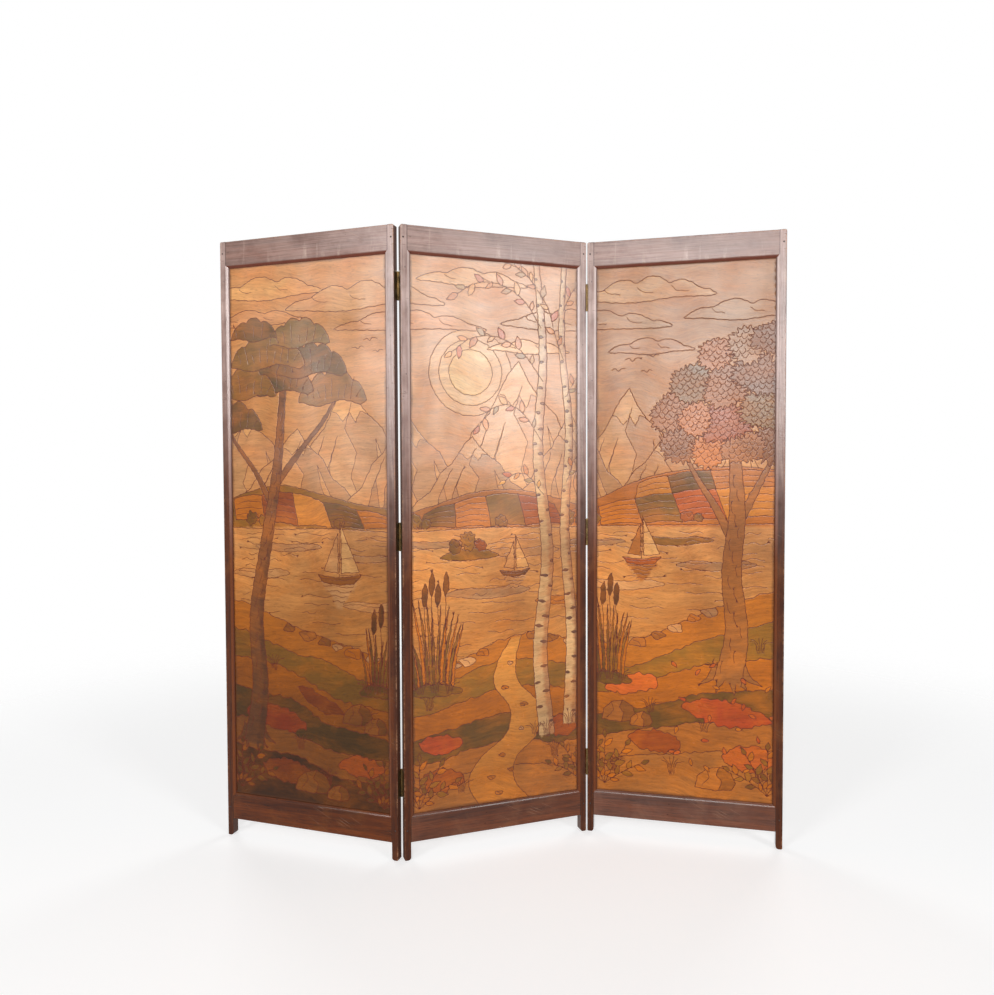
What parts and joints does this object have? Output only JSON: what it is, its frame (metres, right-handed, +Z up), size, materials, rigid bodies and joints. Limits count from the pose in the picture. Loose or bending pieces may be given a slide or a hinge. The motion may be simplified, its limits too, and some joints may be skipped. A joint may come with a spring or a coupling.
{
  "type": "folding screen",
  "caption": "Free-standing folding screen: tall moulded wooden frames with short feet hold thin stained panels, and brass butt hinges let the leaves fold flat.",
  "frame": {"origin": "floor level, at the middle of the plan box of the screen as it stands in a zigzag", "axes": "+Z up, +X to the right along the row of leaves, +Y away from the person who looks at the front"},
  "size_m": [1.5731, 0.2011, 1.7],
  "materials": {
    "stained_frame_wood": "dark stain under satin varnish",
    "bead_wood": "dark stain under satin varnish",
    "peg_wood": "dark stain, end grain",
    "panel_board": "burnt lines and thin colour stains under satin varnish",
    "aged_brass": "aged",
    "hinge_pin_brass": "worn",
    "pin_steel": "dull"
  },
  "bodies": {
    "left_leaf": {"left_fold_bottom_hinge_left_plate": "aged_brass", "left_fold_middle_hinge_left_plate": "aged_brass", "left_fold_top_hinge_left_plate": "aged_brass", "left_leaf_bead_pins": "pin_steel", "left_leaf_bottom_bead": "bead_wood", "left_leaf_bottom_rail": "stained_frame_wood", "left_leaf_joint_pegs": "peg_wood", "left_leaf_left_bead": "bead_wood", "left_leaf_left_stile": "stained_frame_wood", "left_leaf_panel": "panel_board", "left_leaf_right_bead": "bead_wood", "left_leaf_right_hinge_screws": "aged_brass", "left_leaf_right_stile": "stained_frame_wood", "left_leaf_top_bead": "bead_wood", "left_leaf_top_rail": "stained_frame_wood"},
    "middle_leaf": {"left_fold_bottom_hinge_pin": "hinge_pin_brass", "left_fold_bottom_hinge_right_plate": "aged_brass", "left_fold_middle_hinge_pin": "hinge_pin_brass", "left_fold_middle_hinge_right_plate": "aged_brass", "left_fold_top_hinge_pin": "hinge_pin_brass", "left_fold_top_hinge_right_plate": "aged_brass", "middle_leaf_bead_pins": "pin_steel", "middle_leaf_bottom_bead": "bead_wood", "middle_leaf_bottom_rail": "stained_frame_wood", "middle_leaf_joint_pegs": "peg_wood", "middle_leaf_left_bead": "bead_wood", "middle_leaf_left_hinge_screws": "aged_brass", "middle_leaf_left_stile": "stained_frame_wood", "middle_leaf_panel": "panel_board", "middle_leaf_right_bead": "bead_wood", "middle_leaf_right_hinge_screws": "aged_brass", "middle_leaf_right_stile": "stained_frame_wood", "middle_leaf_top_bead": "bead_wood", "middle_leaf_top_rail": "stained_frame_wood", "right_fold_bottom_hinge_left_plate": "aged_brass", "right_fold_bottom_hinge_pin": "hinge_pin_brass", "right_fold_middle_hinge_left_plate": "aged_brass", "right_fold_middle_hinge_pin": "hinge_pin_brass", "right_fold_top_hinge_left_plate": "aged_brass", "right_fold_top_hinge_pin": "hinge_pin_brass"},
    "right_leaf": {"right_fold_bottom_hinge_right_plate": "aged_brass", "right_fold_middle_hinge_right_plate": "aged_brass", "right_fold_top_hinge_right_plate": "aged_brass", "right_leaf_bead_pins": "pin_steel", "right_leaf_bottom_bead": "bead_wood", "right_leaf_bottom_rail": "stained_frame_wood", "right_leaf_joint_pegs": "peg_wood", "right_leaf_left_bead": "bead_wood", "right_leaf_left_hinge_screws": "aged_brass", "right_leaf_left_stile": "stained_frame_wood", "right_leaf_panel": "panel_board", "right_leaf_right_bead": "bead_wood", "right_leaf_right_stile": "stained_frame_wood", "right_leaf_top_bead": "bead_wood", "right_leaf_top_rail": "stained_frame_wood"}
  },
  "joints": [
    {"name": "left_fold", "type": "hinge", "parent": "middle_leaf", "child": "left_leaf", "pos_m": [-0.26499, -0.07729, 0], "axis": [0, 0, 1], "range_deg": [-142.5, 37.5]},
    {"name": "right_fold", "type": "hinge", "parent": "middle_leaf", "child": "right_leaf", "pos_m": [0.25484, 0.07666, 0], "axis": [0, 0, 1], "range_deg": [-147.3, 32.7]}
  ]
}
